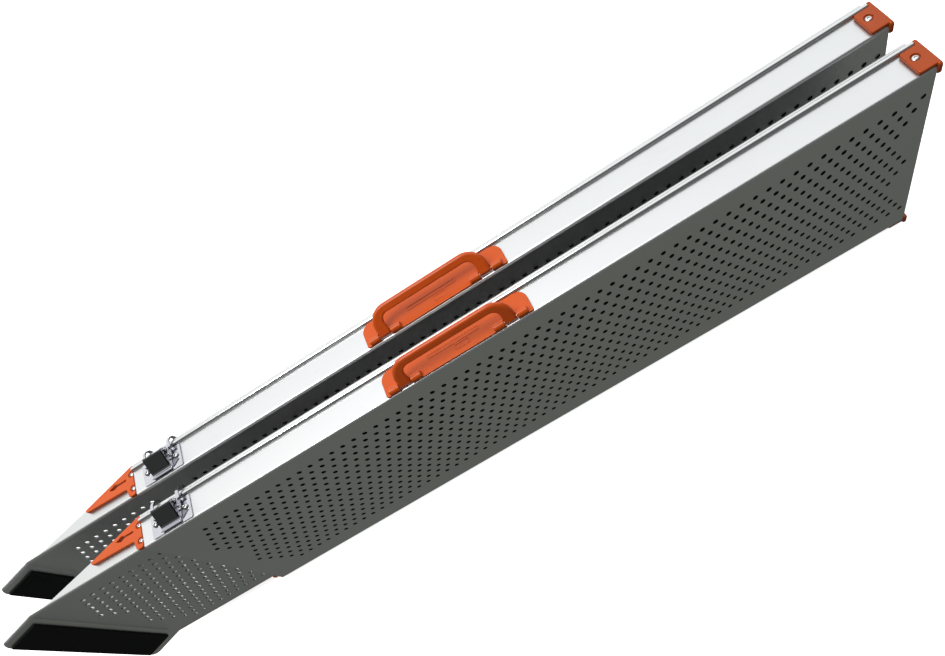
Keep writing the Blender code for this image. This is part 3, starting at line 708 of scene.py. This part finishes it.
    def paint_bore_shade(self, mesh):
        """Marks the bores' faces, which lie between the plate's two sides and away from its folds, with how much
        painted shade the aluminium's material lays on them.
        """
        outer_face, edge = self.stations[-1].matrix.translation.y, 0.1
        bores = mesh.attributes.new("bore", "FLOAT", "FACE")
        for face in mesh.polygons:
            x, y, h = face.center
            inside = edge < y - outer_face < self.sheet - edge and self.levels[0] < h < self.levels[-1]
            bores.data[face.index].value = self.bore_painted_shade * (inside and x > KINK_X)


def straight(x, y=0.0, **more):
    return Station(Matrix.Translation((x, y, 0)), **more)


def grid(first, last):
    """Places of the perforation's grid lines, with their numbers."""
    step = PITCH / 2
    return [(first + step * k, k) for k in range(int((last - first) // step) + 1)]


def outer_channel():
    places = [(0, None), *grid(OUTER_GRID, LENGTH), (LENGTH, None)]
    stations = [straight(x, step=step) for x, step in places]
    made = Channel(stations, 0, -WIDTH, SHEET, (BEAD_Y, BEAD_R),
                   WALL_STOP, OUTER_ROW, OUTER_HOLES, OUTER_BORE_PAINTED_SHADE)
    place("outer_channel", made.mesh("outer_channel"), "track", "aluminium")


def walls_at(x):
    """How far the inner channel's walls reach from its plate at x, in front of the rolled edge."""
    share = (x - TAPER_END[0]) / (TAPER_TOP[0] - TAPER_END[0])
    return TAPER_END[1] + min(1, max(0, share)) * (TAPER_TOP[1] - TAPER_END[1]) - INSET


def inner_channel():
    bend = Matrix.Translation((KINK_X, INSET, 0))
    nose = []
    for turned_by in range(0, 91, 15):  # the tip's rounded corners
        angle = math.radians(turned_by)
        nose.append((-NOSE + NOSE_CORNER * (1 - math.cos(angle)), 1.0, NOSE_CORNER * (1 - math.sin(angle))))
    nose += [(-2.5, 1.0, 0), (-0.8, 0.75, 0), (0, 0.5, 0)]      # the bend, eased over three sections
    stations = []
    for along, share, inset in nose:
        matrix = bend @ Matrix.Rotation(NOSE_ANGLE * share, 4, "Z") @ Matrix.Translation((along, 0, 0))
        stations.append(Station(matrix, clip=NOSE_LIP, inset=inset))
    for x, step in [(KINK_X + 2, None), *grid(INNER_GRID, IN_REAR)]:
        if x < 0:
            stations.append(straight(x, INSET, step=step, clip=walls_at(x)))
        else:
            stations.append(straight(x, INSET, step=step))
    last = max(i for i, s in enumerate(stations) if s.clip is not None)
    start = stations[last]
    start.twin = True
    stations.insert(last + 1, Station(start.matrix, step=start.step))
    stations.append(straight(IN_REAR, INSET))
    made = Channel(stations, -INSET, -INSET - IN_WIDTH, IN_SHEET, (IN_BEAD_Y - INSET, IN_BEAD_R),
                   TAPER_TOP[1] - INSET, INNER_ROW, INNER_HOLES, INNER_BORE_PAINTED_SHADE)
    place("inner_channel", made.mesh("inner_channel"), "inner", "aluminium_inner")


# ---- rubber pad under the nose -------------------------------------------------------------------
def nose_pad():
    (x0, x1), high, low = PAD_X, -INSET - PAD_UPPER, -INSET - IN_WIDTH + PAD_LOWER
    outline = rounded([(x0, low, 2), (x1, low, 2), (x1, high, 2), (x0, high, 2)], 4)
    pad = slab([outline], GAP, PAD_RISE, XZ, 0.6)
    pad.transform(Matrix.Translation((KINK_X, INSET, 0)) @ Matrix.Rotation(NOSE_ANGLE, 4, "Z"))
    place("nose_pad", pad, "inner", "black_rubber")


# ---- screws and pins -----------------------------------------------------------------------------
def both_walls(name, mesh, part, look, middle, crease=CREASE):
    """Places a piece on the upper wall and its twin on the lower one."""
    start, _, number = name.partition("_#")
    twin = mirrored(mesh, middle)
    for wall, made in (("top", mesh), ("bottom", twin)):
        place(f"{start}_{wall}{number}", made, part, look, crease)


def screw(at, seat, head, height, tip, shank, socket):
    """A domed screw: its head sits on height `seat` and has a hexagonal socket."""
    top, depth = seat + height, min(2.2, height - 0.2)
    rim = seat + 0.25                   # the head's rounded rim ends here and its dome begins
    profile = [(shank * 0.7, tip), (shank, tip + 0.4), (shank, seat), (head * 0.96, seat), (head, rim)]
    end, steps = math.acos(socket * 1.25 / head), 7
    for k in range(1, steps + 1):
        angle = end * k / steps
        profile.append((head * math.cos(angle), rim + (top - rim) * math.sin(angle) / math.sin(end)))
    edge = len(profile)
    profile += [(socket * 1.02, top - 0.08), (socket, top - 0.3), (socket, top - depth)]
    profile.append((0.4, top - depth - 0.1))        # the socket's floor
    return turned(profile, (*at, 0), "Z", 36, range(edge, edge + 3))


def screws():
    made = screw(CAP_SCREW, CAP_SEAT + GAP, head=3.9, height=1.8, tip=-2.9, shank=1.9, socket=1.45)
    both_walls("cap_screw_#", made, "track", "zinc_steel", MIDDLE)
    for i, at in enumerate(WEDGE_SCREWS, 1):
        made = screw(at, WEDGE_SEAT + GAP, head=3.2, height=1.9, tip=-INSET - IN_SHEET, shank=1.5, socket=1.25)
        both_walls(f"wedge_screw_#_{i}", made, "inner", "zinc_steel", IN_MIDDLE)
    for i, dx in enumerate(LATCH_SCREWS, 1):
        at = (LATCH_X + dx, LATCH_SCREW_Y)
        made = screw(at, LATCH_TOP + GAP, head=3.8, height=2.6, tip=-2.9, shank=1.9, socket=1.5)
        place(f"latch_screw_{i}", made, "track", "zinc_steel")


def pin(radius, start, end, at):
    """A pin along x with rounded ends."""
    ease = radius * 0.35
    profile = [(radius - ease, start), (radius - ease * 0.3, start + ease * 0.3), (radius, start + ease),
               (radius, end - ease), (radius - ease * 0.3, end - ease * 0.3), (radius - ease, end)]
    return turned(profile, (0, *at), "X", 28)


def pins():
    for i, ends in enumerate(either_side(HANDLE_X, *HINGE_REACH), 1):
        place(f"handle_pin_{i}", pin(HINGE_PIN_R, *ends, PIVOT), "track", "zinc_steel")
    for name, part, radius, half, at in (
        ("latch_lever_pin", "track", LEVER_PIN_R, LEVER_PIN_HALF, LEVER_PIN),
        ("latch_hook_pin", "lever", HOOK_PIN_R, HOOK_PIN_HALF, HOOK_PIN),
    ):
        place(name, pin(radius, LATCH_X - half, LATCH_X + half, at), part, "zinc_steel")


# ---- orange mouldings ----------------------------------------------------------------------------
def end_cap():
    """A pad screwed to the wall, and a flange over the channel's end."""
    x0, x1, (y0, y1) = CAP_START, CAP_END - 1, CAP_Y
    pad = slab([rounded([(x0, y0, 3), (x1, y0, 0), (x1, y1, 0), (x0, y1, 3)])], GAP, BEAD_UP, XY, 1.1)
    (y0, y1), low = CAP_FLANGE_Y, CAP_FLANGE_LOW
    flange = rounded([(y0, low, 2.5), (y1, low, 3), (y1, BEAD_UP, 4), (y0, BEAD_UP, 3)])
    body = join(pad, slab([flange], LENGTH + GAP, CAP_END, YZ, 1.1))
    body = cut(body, bore(5.0, CAP_SCREW, CAP_SEAT, BEAD_UP + 5), bore(2.3, CAP_SCREW, -1, BEAD_UP + 1))
    both_walls("end_cap_#", moulded(body), "track", "orange_cap", MIDDLE, NO_CREASE)


def wedge():
    """A wedge with a slot along its middle and two screws at its blunt end."""
    outline = rounded([
        (-0.6, 46.6, 1.5), (-0.6, 3.4, 2.5), (-11.0, 3.0, 3.5),
        (-13.6, 16.6, 3.0), (-79.8, 18.8, 1.2), (-82.5, 23.3, 1.5),
    ])
    slot = rounded([
        (-12.5, 31.1, 0.8), (-26, 31.1, 2), (-31.5, 33.2, 2), (-37, 30.6, 3),
        (-43.5, 29.4, 1), (-32.5, 26.6, 2), (-27, 28.9, 2), (-12.5, 28.9, 0.8),
    ], 4)
    body = slab([outline, slot], WEDGE_LOW, WEDGE_HIGH, XY, 0.5)
    for at in WEDGE_SCREWS:
        body = cut(body, bore(4.1, at, WEDGE_SEAT, WEDGE_HIGH + 4), bore(1.9, at, WEDGE_LOW - 1, WEDGE_HIGH))
    both_walls("wedge_#", moulded(body), "inner", "orange_plastic", IN_MIDDLE, NO_CREASE)


def frame_line(x, y, width, radius):
    """A thin raised line round a rectangle on the handle's base."""
    loops = []
    for ease in (0, width):
        (x0, x1), (y0, y1) = ((low + ease, high - ease) for low, high in (x, y))
        loops.append(rounded([(u, v, radius - ease) for u, v in ((x0, y0), (x1, y0), (x1, y1), (x0, y1))], 4))
    return slab(loops, BASE_TOP - 0.4, BASE_TOP + LINE_RISE, XY, 0.15, 2)


def handle_base():
    """A plate with a notch for each leg of the bail, and a knuckle on both sides of each notch."""
    x0, x1, (y0, y1) = HANDLE_X - BASE_HALF, HANDLE_X + BASE_HALF, BASE_Y
    body = slab([rounded([(x0, y0, 2), (x1, y0, 2), (x1, y1, 13), (x0, y1, 13)], 10)], GAP, BASE_TOP, XY, 0.8)
    near, far = NOTCH
    for notch in either_side(HANDLE_X, near, far):
        body = cut(body, block(notch, (y0 - 4, 11.6), (-1, 8)))
    inner = either_side(HANDLE_X, near, near - KNUCKLE)
    outer = either_side(HANDLE_X, far, far + KNUCKLE)
    knuckles = []
    for a, b in (inner[0], outer[0], inner[1], outer[1]):
        profile = [(3.7, a), (4.1, a + 0.2), (4.3, a + 0.7), (4.3, b - 0.7), (4.1, b - 0.2), (3.7, b)]
        knuckles.append(turned(profile, (0, *PIVOT), "X", 40))
    first, last = HINGE_REACH
    bores = [hinge_bore(*ends) for ends in either_side(HANDLE_X, first - 1, last + 1)]
    lines = [frame_line(*line) for line in BASE_LINES]
    made = cut(join(body, *knuckles, *lines), *bores)
    place("handle_base", made, "track", "orange_plastic", WIDE_CREASE)


def handle_bail():
    """The grip is swept along a U, and is rounder along its outer edge."""
    left, right, low, corner = HANDLE_X - LEG_X, HANDLE_X + LEG_X, PIVOT[0], 17
    outline = [(left, low, 0), (left, GRIP_Y, corner), (right, GRIP_Y, corner), (right, low, 0)]
    path = [Vector(point) for point in rounded(outline, 16)]
    points = []
    for i, here in enumerate(path):
        ahead = (path[min(i + 1, len(path) - 1)] - path[max(i - 1, 0)]).normalized()
        outward = Vector((-ahead.y, ahead.x))
        half = LEG_HALF - 2.0 * abs(outward.y)      # the grip is narrower than the legs
        section = rounded([
            (-half, BAIL_LOW, 1.6), (half, BAIL_LOW, 1.6), (half, BAIL_HIGH, 4.0), (-half, BAIL_HIGH, 2.0),
        ], 8)
        points += [(*(here + outward * across), h) for across, h in section]
    body = tube("bail", points, len(section))
    ends, bores = [], []
    for a, b in either_side(HANDLE_X, LEG_X - LEG_HALF, LEG_X + LEG_HALF):
        profile = [(2.5, a + 0.1), (3.0, a + 0.7), (3.0, b - 0.7), (2.5, b - 0.1)]
        ends.append(turned(profile, (0, *PIVOT), "X"))
        bores.append(hinge_bore(a - 1, b + 1))
    hinge = Matrix.Translation((HANDLE_X, *PIVOT))
    turn = {}
    for track, angle in RAISED.items():
        turn[track] = hinge @ Matrix.Rotation(angle, 4, "X") @ hinge.inverted()
    made = cut(join(body, *ends), *bores)
    place("handle_bail", made, "bail", "orange_grip", WIDE_CREASE, turn)


# ---- toggle latch --------------------------------------------------------------------------------
def loop(y, h, radius, steps=24):
    """A circle, as an outline."""
    return arc(y, h, radius, 0, 360, steps)[:-1]


def strip(path, thickness):
    """The outline of a sheet that follows a path, with its thickness on the path's left."""
    path = [Vector(point) for point in path]
    outer = []
    for i, here in enumerate(path):
        ahead = (path[min(i + 1, len(path) - 1)] - path[max(i - 1, 0)]).normalized()
        outer.append(here + Vector((-ahead.y, ahead.x)) * thickness)
    return path + outer[::-1]


def latch_sides(outlines, reach, bevel=0.2):
    """Two sheets along y, one on each side of the latch's middle."""
    return [slab(outlines, a, b, YZ, bevel, 2) for a, b in either_side(LATCH_X, *reach)]


def latch_plate():
    """A plate with two lugs that carry the lever's pin."""
    x0, x1, (y0, y1) = LATCH_X - LATCH_HALF, LATCH_X + LATCH_HALF, LATCH_Y
    outline = rounded([(x0, y0, 2), (x1, y0, 2), (x1, y1, 2), (x0, y1, 2)])
    holes = [loop(LATCH_X + dx, LATCH_SCREW_Y, 2.3) for dx in LATCH_SCREWS]
    body = slab([outline, *holes], GAP, LATCH_TOP, XY, 0.3)
    (y, h), radius = LEVER_PIN, 3.1
    lug = [(y - 4.1, 1), (y + radius, 1)] + arc(y, h, radius, 0, 180, 18)
    lugs = latch_sides([lug, loop(y, h, LEVER_BORE_R)], LUG)
    place("latch_plate", join(body, *lugs), "track", "chrome", WIDE_CREASE)


def latch_lever():
    """A sheet that slopes down to a curled lip, with a flange at each side that carries both pins."""
    path = rounded([(3.6, 5.6, 0), (4.4, 2.4, 1.6), (9.6, 2.4, 4), (*LEVER_TOP, 0)], 8)
    half = LEVER_FLANGE[1]
    sheet = slab([strip(path, LEVER_SHEET)], LATCH_X - half, LATCH_X + half, YZ, 0.3, 2)
    (ay, ah), (by, bh) = LEVER_PIN, HOOK_PIN
    flange = [(30.3, 17.4)] + arc(ay, ah, 3.2, 30, -60, 10) + arc(by, bh, 2.8, -68, -110, 6)
    flange += [(13.5, 4.6), (13.5, 5.6)]
    flanges = latch_sides([flange, loop(ay, ah, LEVER_BORE_R), loop(by, bh, HOOK_BORE_R)], LEVER_FLANGE)
    place("latch_lever", join(sheet, *flanges), "lever", "chrome_lever", WIDE_CREASE)


def latch_cover():
    """A flat cover on the lever's slope."""
    half, (y0, y1) = COVER_HALF, COVER_Y
    outline = rounded([(-half, y0, 1.6), (half, y0, 1.6), (half, y1, 1.6), (-half, y1, 1.6)])
    cover = slab([outline], LEVER_SHEET + GAP, LEVER_SHEET + GAP + 1.6, XY, 0.5)
    y, h = LEVER_TOP
    tilt = math.atan2(h - 3.9, y - 11.3)    # of the line from the sheet's upper end to its foot
    cover.transform(Matrix.Translation((LATCH_X, y, h)) @ Matrix.Rotation(tilt, 4, "X"))
    place("latch_cover", cover, "lever", "black_cover", WIDE_CREASE)


def latch_hook():
    """Two arms on the lever, two straps over the rolled edge, and a bar that joins them behind it."""
    by, bh = HOOK_PIN
    arm = arc(by, bh, 2.9, 86, 270, 16) + [(29.5, 5.2), (38.5, 6.4), (38.5, 8.7), (30.0, 9.2)]
    strap = rounded([
        (33.0, 8.6, 0), (42.5, 9.0, 3), (48.5, 6.2, 4), (53.2, -0.5, 4), (53.2, -11.5, 0.8),
        (50.0, -12.5, 0.8), (51.2, -8.0, 0.8), (51.2, 0.0, 3), (46.8, 4.6, 3), (41.8, 7.1, 3), (33.0, 6.8, 0),
    ], 6)
    arms = latch_sides([arm, loop(by, bh, HOOK_BORE_R)], HOOK_ARM)
    straps = latch_sides([strap], HOOK_STRAP, 0.3)
    bar = block((LATCH_X - 18.1, LATCH_X + 18.1), (49.3, 51.7), (-12.8, -10.2))
    place("latch_hook", join(arms[0], straps[0], arms[1], straps[1], bar), "hook", "chrome", WIDE_CREASE)


# ---- what is carried over from the frame ---------------------------------------------------------
FINISH = {
    "glide_strip_top": "glide_polymer",
    "glide_strip_bottom": "glide_polymer",
    "stop_strip": "glide_polymer",
}   # the other ones are screws


def carried_over():
    """CAD nodes that are still shown get the finish of their record's slot."""
    for name, obj in frame["nodes"].items():
        if obj.hide_render:
            continue
        look = FINISH.get(name.split("_", 1)[1], "zinc_steel")
        obj.data.materials.clear()
        obj.data.materials.append(LOOKS[look])


# ---- stage ---------------------------------------------------------------------------------------
def camera():
    """A camera above the front track's side, with a shifted lens."""
    data = bpy.data.cameras.new("camera")
    made = bpy.data.objects.new("camera", data)
    bpy.context.scene.collection.objects.link(made)
    data.sensor_width, data.lens = 36, 26.479
    data.shift_x, data.shift_y = -0.03908, 0.07852
    data.clip_start, data.clip_end = 0.02, 50
    made.location = (0.19948, -0.48702, 0.90167)
    made.rotation_euler = (0.384254, 0.365155, -0.421693)
    bpy.context.scene.camera = made


def area_light(name, at, target, size, power, colour=(1, 1, 1)):
    data = bpy.data.lights.new(name, "AREA")
    data.shape, data.size, data.size_y = "RECTANGLE", *size
    data.energy, data.color = power, colour
    made = bpy.data.objects.new(name, data)
    bpy.context.scene.collection.objects.link(made)
    made.location = at
    made.rotation_euler = (Vector(at) - Vector(target)).to_track_quat("Z", "Y").to_euler()


SKY_MIDDLE = (0, 0.75, 0.66)        # where the sky is brightest
SKY_BELOW, SKY_ABOVE = (0.145, 0.152, 0.134), (1.31, 1.32, 1.33)
SKY_STOPS = ((0.3, 0.15), (0.5, 0.12), (0.69, 0.23), (0.775, 1.19))     # greys between the two


def world():
    """Soft light from above and behind, little from below, and a plain white surround for the camera."""
    made = bpy.data.worlds.new("studio")
    bpy.context.scene.world = made
    made.use_nodes = True
    tree = made.node_tree
    tree.nodes.clear()
    new, link = tree.nodes.new, tree.links.new
    direction = new("ShaderNodeTexCoord").outputs["Generated"]
    lean = new("ShaderNodeVectorMath")
    lean.operation = "DOT_PRODUCT"
    lean.inputs[1].default_value = SKY_MIDDLE
    link(direction, lean.inputs[0])
    ramp = new("ShaderNodeValToRGB")
    below, above = ramp.color_ramp.elements
    below.position, below.color = 0.0, (*SKY_BELOW, 1)
    above.position, above.color = 1.0, (*SKY_ABOVE, 1)
    for position, grey in SKY_STOPS:
        stop = ramp.color_ramp.elements.new(position)
        stop.color = (grey, grey * 1.01, grey, 1)
    shift = new("ShaderNodeMapRange")
    shift.inputs["From Min"].default_value, shift.inputs["From Max"].default_value = -1, 1
    link(lean.outputs["Value"], shift.inputs["Value"])
    link(shift.outputs["Result"], ramp.inputs["Fac"])
    light = new("ShaderNodeBackground")
    link(ramp.outputs["Color"], light.inputs["Color"])
    plain = new("ShaderNodeBackground")
    plain.inputs["Color"].default_value = (1, 1, 1, 1)
    mix = new("ShaderNodeMixShader")
    link(new("ShaderNodeLightPath").outputs["Is Camera Ray"], mix.inputs["Fac"])
    link(light.outputs[0], mix.inputs[1])
    link(plain.outputs[0], mix.inputs[2])
    link(mix.outputs[0], new("ShaderNodeOutputWorld").inputs["Surface"])


def floor():
    data = bpy.data.meshes.new("floor")
    half = 12   # metres
    corners = [(-half, -half, 0), (half, -half, 0), (half, half, 0), (-half, half, 0)]
    data.from_pydata(corners, [], [(0, 1, 2, 3)])
    made = bpy.data.objects.new("floor", data)
    bpy.context.scene.collection.objects.link(made)
    made.location.z = -0.5 * MM
    look = Shader("pale_floor", (0.9, 0.9, 0.9), 0.0, 0.9)
    look.mix(look.ramp(look.noise(2.0), 0, 0.3), (0.88, 0.88, 0.88))
    look.shader.inputs["Emission Color"].default_value = (1, 1, 1, 1)
    look.shader.inputs["Emission Strength"].default_value = 0.82
    data.materials.append(look.material)
    made.visible_diffuse = made.visible_glossy = made.visible_transmission = False


outer_channel()
inner_channel()
nose_pad()
screws()
pins()
end_cap()
wedge()
handle_base()
handle_bail()
latch_plate()
latch_lever()
latch_cover()
latch_hook()
carried_over()
camera()
world()
area_light("key", at=(-0.5, -0.15, 2.7), target=(0, 0, 0.2), size=(1.4, 1.4), power=36, colour=(1, 0.97, 0.94))
area_light("spark", at=(-0.9, -0.2, 1.9), target=(0.3, 0, 0.27), size=(0.12, 0.12), power=2.5)
floor()
bpy.context.scene.view_settings.view_transform = "Standard"
